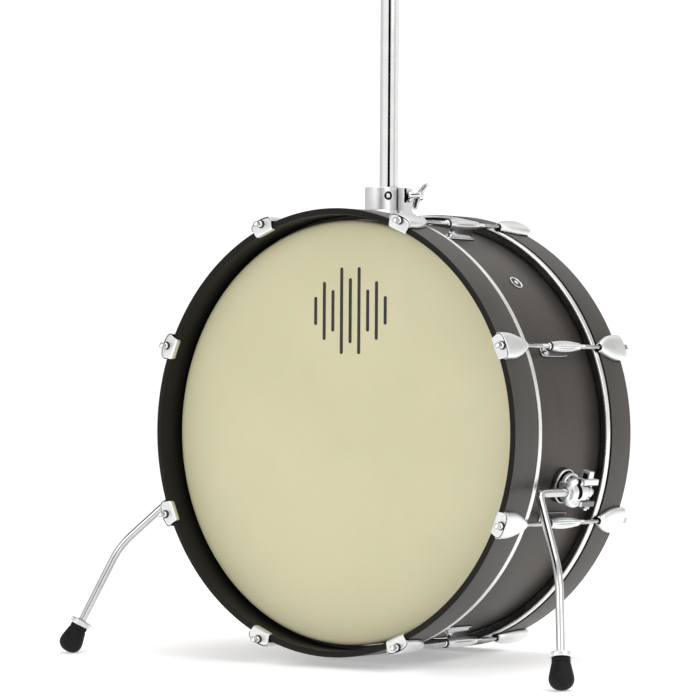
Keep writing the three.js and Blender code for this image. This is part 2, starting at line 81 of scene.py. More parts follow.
# ---- shapes: points in mm, faces, and a look for each face -------------------------------------
class Shape:
    def __init__(self, points=(), faces=(), look="satin_chrome", looks=None):
        self.points = [Vector(p) for p in points]
        self.faces = [tuple(f) for f in faces]
        self.looks = list(looks) if looks is not None else [look] * len(self.faces)

    def __add__(self, other):
        count = len(self.points)
        faces = self.faces + [tuple(i + count for i in f) for f in other.faces]
        return Shape(self.points + other.points, faces, looks=self.looks + other.looks)

    def moved(self, matrix):
        faces = self.faces if matrix.determinant() > 0 else [f[::-1] for f in self.faces]
        return Shape([matrix @ p for p in self.points], faces, looks=self.looks)

    def shifted(self, x=0, y=0, z=0):
        return self.moved(Matrix.Translation((x, y, z)))

    def middle(self, face):
        return sum((self.points[i] for i in face), Vector()) / len(face)


def to_bmesh(shape):
    names = sorted(set(shape.looks))
    bm = bmesh.new()
    verts = [bm.verts.new(p) for p in shape.points]
    for face, look in zip(shape.faces, shape.looks):
        corners = [verts[i] for i in face]
        if len(set(face)) < 3 or bm.faces.get(corners):
            continue
        made = bm.faces.new(corners)
        made.material_index = names.index(look)
    bmesh.ops.remove_doubles(bm, verts=bm.verts, dist=1e-4)
    bmesh.ops.recalc_face_normals(bm, faces=bm.faces)
    return bm, names


def from_bmesh(bm, names):
    bm.verts.index_update()
    points = [v.co.copy() for v in bm.verts]
    faces = [tuple(v.index for v in f.verts) for f in bm.faces]
    looks = [names[min(f.material_index, len(names) - 1)] for f in bm.faces]
    bm.free()
    return Shape(points, faces, looks=looks)


def softened(shape, width, steps=2, angle=35):
    """Rounds every edge sharper than the angle."""
    bm, names = to_bmesh(shape)
    edges = [e for e in bm.edges if e.calc_face_angle(0) > math.radians(angle)]
    bmesh.ops.bevel(bm, geom=edges, offset=width, segments=steps, profile=0.5, affect="EDGES",
                    clamp_overlap=True)
    return from_bmesh(bm, names)


def turned(profile, sides=48, look="satin_chrome", closed=False):
    """(radius, height) points turned about local Y."""
    points, rings = [], []
    for radius, height in profile:
        if radius < 1e-6:
            rings.append([len(points)] * sides)
            points.append((0, height, 0))
        else:
            rings.append(list(range(len(points), len(points) + sides)))
            for i in range(sides):
                turn = 2 * math.pi * i / sides
                points.append((radius * math.sin(turn), height, radius * math.cos(turn)))
    faces = []
    pairs = list(zip(rings, rings[1:])) + ([(rings[-1], rings[0])] if closed else [])
    for low, high in pairs:
        for i in range(sides):
            j = (i + 1) % sides
            face = list(dict.fromkeys((low[i], low[j], high[j], high[i])))
            if len(face) > 2:
                faces.append(face)
    return Shape(points, faces, look)


def lofted(rings, look="satin_chrome", caps=True):
    """A skin through rings with the same number of points."""
    count = len(rings[0])
    points = [p for ring in rings for p in ring]
    faces = []
    for r in range(len(rings) - 1):
        for i in range(count):
            j = (i + 1) % count
            a, b = r * count, (r + 1) * count
            faces.append((a + i, a + j, b + j, b + i))
    if caps:
        last = (len(rings) - 1) * count
        faces.append(tuple(range(count))[::-1])
        faces.append(tuple(range(last, last + count)))
    return Shape(points, faces, look)


def block(x0, x1, y0, y1, z0, z1, look="satin_chrome", round_by=0.0, steps=2):
    ring = [(x0, y0), (x1, y0), (x1, y1), (x0, y1)]
    shape = lofted([[(x, y, z) for x, y in ring] for z in (z0, z1)], look)
    return softened(shape, round_by, steps) if round_by else shape


def filleted(outline, radii, steps=5):
    """Rounds the corners of a closed outline of 2-D points."""
    rounded = []
    count = len(outline)
    for i, corner in enumerate(outline):
        radius = radii[i] if isinstance(radii, (list, tuple)) else radii
        p, a, b = (Vector(q) for q in (corner, outline[i - 1], outline[(i + 1) % count]))
        if radius <= 0:
            rounded.append(tuple(p))
            continue
        to_a, to_b = (a - p), (b - p)
        half = to_a.angle(to_b) / 2
        reach = min(radius / math.tan(half), to_a.length * 0.48, to_b.length * 0.48)
        start, end = p + to_a.normalized() * reach, p + to_b.normalized() * reach
        for k in range(steps + 1):
            t = k / steps
            rounded.append(tuple(start * (1 - t) ** 2 + p * 2 * t * (1 - t) + end * t * t))
    return rounded


def carved(shape, cutter, operation="DIFFERENCE"):
    """A boolean of two closed shapes."""
    names = sorted(set(shape.looks) | set(cutter.looks))
    objects = []
    for one in (shape, cutter):
        bm, own = to_bmesh(one)
        for face in bm.faces:
            face.material_index = names.index(own[face.material_index])
        mesh = bpy.data.meshes.new("temporary")
        bm.to_mesh(mesh)
        bm.free()
        for name in names:
            mesh.materials.append(None)
        made = bpy.data.objects.new("temporary", mesh)
        bpy.context.scene.collection.objects.link(made)
        objects.append(made)
    target, tool = objects
    step = target.modifiers.new("cut", "BOOLEAN")
    step.operation = operation
    step.solver = "EXACT"
    step.use_self = True
    step.object = tool
    bpy.context.view_layer.update()
    graph = bpy.context.evaluated_depsgraph_get()
    result = bpy.data.meshes.new_from_object(target.evaluated_get(graph))
    bm = bmesh.new()
    bm.from_mesh(result)
    for made in objects:
        mesh = made.data
        bpy.data.objects.remove(made)
        bpy.data.meshes.remove(mesh)
    bpy.data.meshes.remove(result)
    return from_bmesh(bm, names)


def swept(path, radii, sides, look):
    """A round bar along a list of points, with its own radius at each."""
    path = [Vector(p) for p in path]
    across = Vector((1, 0, 0))
    rings = []
    for i, p in enumerate(path):
        along = (path[min(i + 1, len(path) - 1)] - path[max(i - 1, 0)]).normalized()
        across = (across - along * across.dot(along)).normalized()
        up = along.cross(across)
        rings.append([p + (across * math.cos(t) + up * math.sin(t)) * radii[i]
                      for t in (2 * math.pi * k / sides for k in range(sides))])
    return lofted(rings, look)


def blended(table, at):
    """Reads a smooth value from (position, value) pairs."""
    if at <= table[0][0]:
        return table[0][1]
    for (a, va), (b, vb) in zip(table, table[1:]):
        if at <= b:
            t = (at - a) / (b - a)
            t = t * t * (3 - 2 * t) * 0.4 + t * 0.6
            return va + (vb - va) * t
    return table[-1][1]


# ---- looks -------------------------------------------------------------------------------------
class Nodes:
    """A short way to write a material's node tree."""

    def __init__(self, name):
        self.material = bpy.data.materials.new(name)
        self.material.use_nodes = True
        self.tree = self.material.node_tree
        self.shader = self.tree.nodes["Principled BSDF"]
        self.coords = self.tree.nodes.new("ShaderNodeTexCoord")

    def add(self, kind, inputs=None, **settings):
        node = self.tree.nodes.new(kind)
        for key, value in settings.items():
            setattr(node, key, value)
        for key, value in (inputs or {}).items():
            self.feed(node.inputs[key], value)
        return node

    def feed(self, socket, value):
        if isinstance(value, bpy.types.NodeSocket):
            self.tree.links.new(value, socket)
        else:
            socket.default_value = value

    def mapped(self, scale, space="Object"):
        link = self.add("ShaderNodeMapping", {"Vector": self.coords.outputs[space], "Scale": scale})
        return link.outputs["Vector"]

    def noise(self, where, scale, detail=4.0, rough=0.55):
        node = self.add("ShaderNodeTexNoise", {"Vector": where, "Scale": scale, "Detail": detail,
                                               "Roughness": rough})
        return node.outputs["Fac"]

    def ramp(self, value, low, high, out_low=0.0, out_high=1.0):
        node = self.add("ShaderNodeMapRange", {"Value": value, "From Min": low, "From Max": high,
                                               "To Min": out_low, "To Max": out_high})
        return node.outputs["Result"]

    def mix(self, amount, first, second):
        node = self.add("ShaderNodeMix", data_type="RGBA")
        for socket, value in ((node.inputs[0], amount), (node.inputs[6], first), (node.inputs[7], second)):
            self.feed(socket, value)
        return node.outputs[2]

    def maths(self, operation, a, b):
        node = self.add("ShaderNodeMath", operation=operation)
        self.feed(node.inputs[0], a)
        self.feed(node.inputs[1], b)
        return node.outputs[0]

    def bump(self, height, strength, distance):
        node = self.add("ShaderNodeBump", {"Height": height, "Strength": strength,
                                           "Distance": distance})
        self.feed(self.shader.inputs["Normal"], node.outputs["Normal"])

    def set(self, **values):
        for key, value in values.items():
            self.feed(self.shader.inputs[key.replace("_", " ")], value)
        return self.material


def grey(value):
    return (value, value, value, 1.0)


def lacquer(name, dark, light, rough, grain_depth, shine=0.5):
    n = Nodes(name)
    grain_place = n.mapped((3.0, 140.0, 1.0), "UV")
    grain = n.noise(grain_place, 1.0, 6.0, 0.62)
    cloud = n.noise(n.mapped((1.0, 1.0, 1.0)), 14.0, 3.0)
    pores = n.noise(n.mapped((20.0, 900.0, 1.0), "UV"), 1.0, 2.0, 0.5)
    tone = n.maths("ADD", n.maths("MULTIPLY", grain, 0.6), n.maths("MULTIPLY", cloud, 0.4))
    colour = n.mix(n.ramp(tone, 0.35, 0.65), dark, light)
    roughness = n.ramp(tone, 0.3, 0.7, rough - 0.05, rough + 0.06)
    height = n.maths("ADD", n.maths("MULTIPLY", grain, 0.5), n.maths("MULTIPLY", pores, 0.5))
    n.bump(height, grain_depth, 0.0002)
    n.set(Base_Color=colour, Roughness=roughness, Specular_IOR_Level=shine)
    return n.material


def metal(name, dark, light, rough, spread, bump, scale=60.0, stretch=(1.0, 1.0, 1.0)):
    n = Nodes(name)
    place = n.mapped(stretch)
    smudge = n.noise(place, scale, 4.0)
    fine = n.noise(place, scale * 14, 3.0)
    n.bump(fine, bump, 0.00012)
    colour = n.mix(n.ramp(smudge, 0.3, 0.7), dark, light)
    # Creases and places where parts meet turn near black: painted shade from an ambient occlusion node.
    near = n.add("ShaderNodeAmbientOcclusion", {"Distance": 0.005}, samples=6).outputs["AO"]
    n.set(Base_Color=n.mix(n.ramp(near, 0.25, 0.8), (0.012, 0.012, 0.013, 1), colour), Metallic=1.0,
          Roughness=n.ramp(smudge, 0.3, 0.7, rough, rough + spread))
    return n.material


def coated_film(name):
    n = Nodes(name)
    place = n.mapped((1.0, 1.0, 1.0))
    cloud = n.noise(place, 7.0, 4.0)
    speck = n.noise(place, 420.0, 3.0, 0.6)
    colour = n.mix(n.ramp(cloud, 0.35, 0.65), (0.615, 0.578, 0.372, 1), (0.655, 0.615, 0.405, 1))
    colour = n.mix(n.ramp(speck, 0.4, 0.75, 0.0, 0.12), colour, (0.54, 0.505, 0.32, 1))
    n.bump(speck, 0.22, 0.0003)
    n.set(Base_Color=colour, Roughness=n.ramp(cloud, 0.3, 0.7, 0.5, 0.6),
          Subsurface_Weight=0.08, Subsurface_Radius=(0.004, 0.003, 0.002), Subsurface_Scale=1.0)
    return n.material


def moulded(name, dark, light, rough, grain, shine=0.5):
    n = Nodes(name)
    place = n.mapped((1.0, 1.0, 1.0))
    cloud = n.noise(place, 90.0, 4.0)
    fine = n.noise(place, grain, 3.0)
    n.bump(fine, 0.3, 0.00025)
    n.set(Base_Color=n.mix(n.ramp(cloud, 0.35, 0.65), dark, light), Specular_IOR_Level=shine,
          Roughness=n.ramp(cloud, 0.3, 0.7, rough - 0.06, rough + 0.06))
    return n.material


LOOKS = {
    "shell_lacquer": lacquer("shell_lacquer", (0.026, 0.021, 0.018, 1), (0.048, 0.040, 0.035, 1),
                             0.42, 0.10),
    "hoop_lacquer": lacquer("hoop_lacquer", (0.0065, 0.0058, 0.0048, 1), (0.011, 0.0098, 0.0082, 1),
                            0.4, 0.08, 0.16),
    "hoop_side": lacquer("hoop_side", (0.028, 0.0245, 0.021, 1), (0.048, 0.042, 0.037, 1), 0.42, 0.08),
    "bare_ply": lacquer("bare_ply", (0.33, 0.22, 0.12, 1), (0.46, 0.33, 0.2, 1), 0.6, 0.3),
    "head_film": coated_film("head_film"),
    "flesh_metal": metal("flesh_metal", (0.82, 0.81, 0.79, 1), (0.94, 0.93, 0.91, 1), 0.24, 0.1, 0.05,
                         40.0, (1.0, 6.0, 1.0)),
    "chrome": metal("polished_chrome", (0.90, 0.91, 0.93, 1), (0.96, 0.97, 0.98, 1), 0.05, 0.06, 0.015),
    "satin_chrome": metal("satin_chrome", (0.78, 0.79, 0.80, 1), (0.85, 0.86, 0.87, 1), 0.34, 0.06, 0.03),
    "leg_chrome": metal("leg_chrome", (0.58, 0.58, 0.59, 1), (0.66, 0.66, 0.67, 1), 0.1, 0.06, 0.02),
    "rod_steel": metal("rod_steel", (0.44, 0.44, 0.45, 1), (0.56, 0.56, 0.57, 1), 0.16, 0.08, 0.03),
    "shaded_chrome": metal("shaded_chrome", (0.16, 0.16, 0.17, 1), (0.24, 0.24, 0.25, 1),
                           0.2, 0.08, 0.03),
    # The near-black steel below is painted into grooves, bores, slots, steps and gaps as shade.
    "dark_steel": metal("dark_steel", (0.05, 0.05, 0.05, 1), (0.10, 0.10, 0.10, 1), 0.4, 0.12, 0.08),
    "foot_rubber": moulded("foot_rubber", grey(0.003), grey(0.008), 0.6, 900.0, 0.2),
    # Black nylon is real on washers, gaskets and bushes; the same black is also painted into creases, slots
    # and pockets as shade.
    "black_nylon": moulded("black_nylon", grey(0.008), grey(0.014), 0.45, 1400.0),
    "black_ink": moulded("black_ink", (0.008, 0.008, 0.007, 1), (0.02, 0.019, 0.017, 1), 0.5, 1600.0),
}


# ---- pieces ------------------------------------------------------------------------------------
def wrap_uv(mesh, radius):
    """A sheet of UVs in metres: round the drum, and along its axis."""
    layer = mesh.uv_layers.new(name="wrap")
    for polygon in mesh.polygons:
        corners = [mesh.vertices[mesh.loops[i].vertex_index].co for i in polygon.loop_indices]
        turns = [math.atan2(c.x, c.z) for c in corners]
        if max(turns) - min(turns) > math.pi:
            turns = [t + 2 * math.pi if t < 0 else t for t in turns]
        for i, turn, c in zip(polygon.loop_indices, turns, corners):
            reach = math.hypot(c.x, c.z)
            layer.data[i].uv = (turn * radius * MM, c.y + reach)


def mesh_of(name, shape, sharp=38, wrap=None):
    bm, names = to_bmesh(shape)
    bmesh.ops.scale(bm, vec=(MM, MM, MM), verts=bm.verts)
    mesh = bpy.data.meshes.new(name)
    bm.to_mesh(mesh)
    bm.free()
    for look in names:
        mesh.materials.append(LOOKS[look])
    for polygon in mesh.polygons:
        polygon.use_smooth = True
    mesh.set_sharp_from_angle(angle=math.radians(sharp))
    if wrap:
        wrap_uv(mesh, wrap)
    return mesh


def put(name, mesh, body, nodes=(), place=None, weighted=False, level=False):
    """A level piece has its leaning in the mesh, so that its box is square to the floor."""
    piece = bpy.data.objects.new(name, mesh)
    bpy.context.scene.collection.objects.link(piece)
    if level:
        mesh.transform(DRUM)
    else:
        piece.matrix_world = DRUM @ place if place is not None else DRUM
    if weighted:
        piece.modifiers.new("normals", "WEIGHTED_NORMAL").keep_sharp = True
    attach(piece, body)
    if nodes:
        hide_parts(*nodes)
    return piece


def in_metres(matrix):
    """The same placing, for an object whose mesh is in metres."""
    made = matrix.copy()
    made.translation = matrix.translation * MM
    return made


def carried(angle):
    return Matrix.Rotation(math.radians(90 - angle), 4, "Y")


FRONT_TO_REAR = Matrix.Translation((0, DEPTH, 0)) @ Matrix.Rotation(math.pi, 4, "Z")
LEFT_TO_RIGHT = Matrix.Scale(-1, 4, (1, 0, 0))


# shell ------------------------------------------------------------------------------------------
def make_shell():
    edge = HEAD_RECESS + 1.15
    inner = SHELL_R - 6.5
    front = [(inner, edge + 5), (SHELL_R - 2.9, edge + 0.2), (SHELL_R - 2.3, edge),
             (SHELL_R - 1.5, edge + 0.2), (SHELL_R - 0.5, edge + 1.6), (SHELL_R, edge + 3.4)]
    rear = [(r, DEPTH - y) for r, y in reversed(front)]
    wall = turned(front + rear, SIDES, "shell_lacquer", closed=True)
    bore = turned([(0, 200), (POST_R + 1.6, 200), (POST_R + 1.6, 280), (0, 280)], 48, "bare_ply")
    bore = bore.moved(Matrix.Rotation(math.radians(90), 4, "X")).shifted(0, POST_Y, 0)
    wall = carved(wall, bore)
    wall.looks = ["bare_ply" if wall.middle(f).xz.length < SHELL_R - 3.5 else look
                  for f, look in zip(wall.faces, wall.looks)]
    put("shell_skin", mesh_of("shell_skin", wall, 30, SHELL_R), "drum", ["shell"])


def hoop_shape(width):
    hoop = turned(filleted([(HOOP_INNER_R, 0), (HOOP_R, 0), (HOOP_R, width), (HOOP_INNER_R, width)],
                           [1.6, 2.4, 0.9, 0.9]), SIDES, "hoop_lacquer", closed=True)
    # The outer faces take the lighter hoop_side lacquer: partly a finish that matches the shell, partly
    # painted sheen from the light on the side.
    hoop.looks = ["hoop_side" if all(hoop.points[i].xz.length > HOOP_R - 0.7 for i in f) else look
                  for f, look in zip(hoop.faces, hoop.looks)]
    return hoop


def flesh_shape(low):
    """The head's own rim: a rolled band, with a step by the hoop and a groove by the shell, both painted dark
    as shade.
    """
    high = low + FLESH_WIDTH
    ring = turned(filleted([(256.1, low), (266.3, low), (266.3, low + 2.6), (267.2, low + 3.1), (267.2, high),
                            (264.2, high), (263.2, low + 6.5), (256.1, low + 6.5)],
                           [0.5, 0.4, 0.2, 0.4, 1.6, 0.6, 0.8, 0.4]), SIDES, "flesh_metal", closed=True)
    # Faces of the step and of the groove are painted near black as shade.
    for k, face in enumerate(ring.faces):
        points = [ring.points[i] for i in face]
        if all(p.xz.length < 265.2 for p in points) or all(p.y < low + 2.8 for p in points):
            ring.looks[k] = "dark_steel"
    return ring


def film_shape(end):
    face, collar = HEAD_RECESS, HOOP_WIDTH[end] + 5.5
    outside = [(0, face), (120, face), (215, face), (246, face), (250, face + 0.05),
               (252.3, face + 0.45), (253.9, face + 1.5), (254.8, face + 3.0), (255.3, face + 5.4),
               (255.45, face + 9), (255.45, collar)]
    inside = [(254.75, collar), (254.75, face + 9), (254.6, face + 5.6), (253.6, face + 2.9),
              (252.2, face + 1.15), (250, face + 0.62), (0, face + 0.6)]
    film = turned(outside + inside, SIDES, "head_film")
    # The film's collar inside the rim is painted in the dark shaded chrome: painted shade.
    film.looks = ["shaded_chrome" if all(film.points[i].y > face + 8 for i in f) else look
                  for f, look in zip(film.faces, film.looks)]
    return film


def make_rings():
    for end, place in (("front", None), ("rear", in_metres(FRONT_TO_REAR))):
        width = HOOP_WIDTH[end]
        for kind, shape, node, look in (
                ("hoop_ring", hoop_shape(width), "hoop", "hoop_lacquer"),
                ("flesh_ring", flesh_shape(width + FLESH_GAP), "flesh_hoop", "flesh_metal"),
                ("head_film", film_shape(end), "head", "head_film")):
            name = f"{end}_{kind}"
            wrap = HOOP_R if kind == "hoop_ring" else None
            put(name, mesh_of(name, shape, 50, wrap), "drum", [f"{end}_{node}"], place)


# claw, tension rod and lug, built at the top of the drum ------------------------------------------
CLAW_SEAT = HOOP_R + 0.5
CLAW_WIDTHS = [(8, 16.5), (14, 16.2), (20, 15.4), (27, 13.6), (33, 11.4), (38, 9.2), (42, 7.2), (44.5, 5.3),
               (45.4, 3.9)]
CLAW_HEIGHTS = [(8, 9.3), (20, 9.2), (33, 8.7), (42, 8.1), (45.4, 7.4)]
CLAW_WIDEST = 8
CLAW_COLUMNS = 33


def claw_shape():
    """One sheet: the dome from its tip forward, a crease, the flange, the fold and the lip."""
    arch = []
    for i in range(CLAW_COLUMNS):
        turn = math.radians(-90 + 180 * i / (CLAW_COLUMNS - 1))
        s, c = math.sin(turn), max(math.cos(turn), 0.0)
        arch.append((math.copysign(abs(s) ** 0.84, s), c ** 0.6))

    def shield(y, wide=1.0, tall=1.0):
        at = max(y, CLAW_WIDEST)
        width = blended(CLAW_WIDTHS, at) * wide
        height = blended(CLAW_HEIGHTS, at) * tall
        return [(a * width, y, CLAW_SEAT + b * height) for a, b in arch]

    rows = [shield(y) for y in (45.4, 45.1, 44.5, 43.4, 42, 40, 38, 35.5, 33, 30, 27, 23, 19, 15, 11, 6,
                                2, -1)]
    for y, wide, tall in ((-1.9, 0.99, 0.985), (-2.4, 0.975, 0.95), (-2.55, 0.96, 0.91),
                          (-2.3, 0.945, 0.88), (-0.8, 0.935, 0.85), (-0.7, 0.925, 0.83),
                          (-0.8, 0.915, 0.80), (-2.3, 0.905, 0.77)):
        rows.append(shield(y, wide, tall))
    top = rows[-1]
    foot_z, corner, fold, half = 261.4, 1.4, 2.7, 13.6

    def edge_row(y, z, narrow):
        row = []
        for x, _, _ in top:
            x = max(-half, min(half, x)) * narrow
            beyond = max(0.0, abs(x) - (half * narrow - corner)) / corner
            row.append((x, y, z + corner * (1 - math.sqrt(max(0.0, 1 - beyond ** 2)))))
        return row

    flat = edge_row(-2.3, foot_z, 1.0)
    for t in (0.3, 0.6, 0.85, 1.0):
        rows.append([(a[0] + (b[0] - a[0]) * t, -2.3, a[2] + (b[2] - a[2]) * t) for a, b in zip(top, flat)])
    for step in (20, 40, 60, 80, 90):
        turn = math.radians(step)
        rows.append(edge_row(-2.3 + fold * (1 - math.cos(turn)), foot_z - fold * math.sin(turn),
                             1 - 0.03 * step / 90))
    rows += [edge_row(2.5, foot_z - fold, 0.96), edge_row(4.8, foot_z - fold, 0.94),
             edge_row(5.4, foot_z - fold + 0.1, 0.9)]
    count = CLAW_COLUMNS
    faces, looks = [], []
    for r in range(len(rows) - 1):
        for i in range(count - 1):
            faces.append((r * count + i, r * count + i + 1, (r + 1) * count + i + 1, (r + 1) * count + i))
            # Rows 22 to 24, the crease between dome and flange, are painted black as shade.
            looks.append("black_nylon" if 22 <= r <= 24 else "satin_chrome")
    return Shape([p for row in rows for p in row], faces, looks=looks)


def claw_solid():
    """Thickens the sheet towards the hoop."""
    sheet = claw_shape()
    bm, names = to_bmesh(sheet)
    top = max(bm.faces, key=lambda f: f.calc_center_median().z)
    if top.normal.z < 0:
        bmesh.ops.reverse_faces(bm, faces=bm.faces)
    bm.normal_update()
    inner = {v: bm.verts.new(v.co - v.normal * 1.3) for v in bm.verts[:]}
    outer_faces = bm.faces[:]
    rim = [e for e in bm.edges if len(e.link_faces) == 1]
    for face in outer_faces:
        bm.faces.new([inner[v] for v in reversed(face.verts)]).material_index = names.index("satin_chrome")
    for edge in rim:
        a, b = edge.verts
        bm.faces.new([b, a, inner[a], inner[b]]).material_index = names.index("satin_chrome")
    bmesh.ops.recalc_face_normals(bm, faces=bm.faces)
    return softened(from_bmesh(bm, names), 0.35, 2, 55)


def tension_rod_shape():
    seat = -2.9
    collar = turned([(0, seat - 4.2), (2.9, seat - 4.2), (3.6, seat - 3.7), (3.9, seat - 2.6),
                     (3.9, seat - 0.8), (0, seat - 0.8)], 32, "chrome")
    washer = turned([(0, seat - 0.9), (4.7, seat - 0.9), (4.9, seat - 0.7), (4.9, seat - 0.1), (4.7, seat),
                     (0, seat)], 32, "black_nylon")
    key = softened(block(-3.1, 3.1, seat - 10.0, seat - 5.0, -3.1, 3.1, "rod_steel"), 0.45, 2)
    neck = turned([(0, seat - 5.2), (2.5, seat - 5.2), (2.5, seat - 4.0), (0, seat - 4.0)],
                  24, "black_nylon")
    tip = turned([(0, seat - 10.5), (1.4, seat - 10.4), (2.4, seat - 9.9), (2.4, seat - 9.7),
                  (0, seat - 9.7)], 24, "chrome")
    profile = [(0, seat - 0.5), (2.3, seat - 0.5), (2.3, 60), (2.75, 62)]
    pitch, y = 0.9, 78.0
    profile.append((2.8, y))
    while y < 110:
        profile += [(2.45, y + pitch / 2), (2.8, y + pitch)]
        y += pitch
    profile += [(2.2, 112), (0, 112)]
    shank = turned(profile, 16, "rod_steel")
    return (collar + washer + neck + key + tip + shank).shifted(0, 0, ROD_R)


LUG_RADII = [(0, 4.9), (1.0, 5.3), (6, 5.6), (14, 6.3), (24, 6.75), (34, 6.7), (44, 6.1), (52, 5.35),
             (58, 4.7), (61, 4.3), (62, 3.9)]
LUG_FLUTES = (-75, -45, -15, 15, 45, 75)


def lug_shape():
    columns = 96
    rings = []
    for y in [0, 0.5, 1, 2.5, 4.5, 7, 10, 14, 18, 23, 28, 33, 38, 43, 48, 52, 55, 58, 60, 61.3, 62]:
        radius = blended(LUG_RADII, y)
        fade = min(1.0, max(0.0, (y - 7) / 8), max(0.0, (54 - y) / 10))
        ring = []
        for k in range(columns):
            turn = 2 * math.pi * k / columns
            dent = 0.0
            for centre in LUG_FLUTES:
                away = (math.degrees(turn) - centre + 180) % 360 - 180
                dent += math.exp(-(away / 6.5) ** 2)
            r = radius - 0.95 * dent * fade
            ring.append((r * math.sin(turn), LUG_FRONT + y, ROD_R + r * math.cos(turn)))
        rings.append(ring)
    barrel = lofted(rings, "satin_chrome")
    middle = LUG_FRONT + LUG_LENGTH / 2

    def oval(half_x, half_y, z, corner=0.55):
        ring = []
        for k in range(40):
            turn = 2 * math.pi * k / 40
            c, s = math.cos(turn), math.sin(turn)
            ring.append((math.copysign(abs(c) ** corner, c) * half_x,
                         middle + math.copysign(abs(s) ** corner, s) * half_y, z))
        return ring

    stem = lofted([oval(5.9, 25, 256), oval(5.0, 23, 257.6), oval(4.4, 21.6, 260), oval(4.3, 21, 262.5),
                   oval(4.6, 21.6, 265), oval(5.0, 23, 268.5)], "rod_steel")
    plate = lofted([oval(6.2, 27.8, 254.6, 0.42), oval(6.4, 28, 254.9, 0.42), oval(6.4, 28, 255.6, 0.42),
                    oval(6.0, 27.4, 256.2, 0.42), oval(5.4, 25, 256.5, 0.45)], "satin_chrome")
    # The plate's upper faces are painted in the darker shaded chrome: painted shade under the barrel.
    plate.looks = ["shaded_chrome" if all(plate.points[i].z > 256.1 for i in f) else look
                   for f, look in zip(plate.faces, plate.looks)]
    gasket = lofted([oval(6.7, 28.3, 253.8, 0.42), oval(6.7, 28.3, 254.6, 0.42)], "black_nylon")
    ring = turned(filleted([(2.95, -2.0), (5.6, -2.0), (5.6, 0.6), (2.95, 0.6)], 0.5, 3), 40, "black_nylon",
                  closed=True)
    nut = turned([(2.9, -4.0), (3.9, -4.0), (4.3, -3.6), (4.3, -1.8), (2.9, -1.8)], 40, "chrome", closed=True)
    ends = (ring + nut).shifted(0, LUG_FRONT, ROD_R)
    return barrel + stem + plate + gasket + ends


def make_lugs():
    claw = mesh_of("claw", claw_solid(), 45)
    rod = mesh_of("tension_rod", tension_rod_shape(), 40)
    lug = mesh_of("lug", lug_shape(), 50)
    for i in range(8):
        place = carried(22.5 + 45 * i)
        behind = place @ FRONT_TO_REAR
        put(f"lug_body_{i + 1}", lug, "drum", [f"lug_{i + 1}"], in_metres(place))
        for end, where in (("front", place), ("rear", behind)):
            put(f"claw_{end}_{i + 1}", claw, "drum", [f"{end}_claw_{i + 1}"],
                in_metres(where))
            put(f"key_rod_{end}_{i + 1}", rod, "drum", [f"{end}_tension_rod_{i + 1}"],
                in_metres(where), weighted=True)


# post, bracket and wing bolt ----------------------------------------------------------------------
def make_post():
    inner = POST_R - 1.6
    tube = turned([(0, POST_TOP), (POST_R - 1.6, POST_TOP), (POST_R - 0.7, POST_TOP - 0.25),
                   (POST_R - 0.2, POST_TOP - 0.9), (POST_R, POST_TOP - 1.8), (POST_R, POST_TOP - 2.6),
                   (POST_R, POST_BOTTOM + 1.4), (POST_R, POST_BOTTOM + 0.6),
                   (POST_R - 0.4, POST_BOTTOM), (inner + 0.3, POST_BOTTOM), (inner, POST_BOTTOM + 0.5),
                   (inner, POST_TOP - 4), (0, POST_TOP - 4)], 72, "chrome")
    tube = tube.moved(Matrix.Rotation(math.radians(90), 4, "X")).shifted(0, POST_Y, 0)
    put("post_tube", mesh_of("post_tube", tube, 40), "post", ["post"], level=True)


def stadium(half, lobe, count):
    ring = []
    for k in range(count):
        turn = 2 * math.pi * k / count
        c, s = math.cos(turn), math.sin(turn)
        ring.append((half * c, math.copysign(lobe * min(1.0, abs(s) * 3.0), s) + half * s))
    return ring


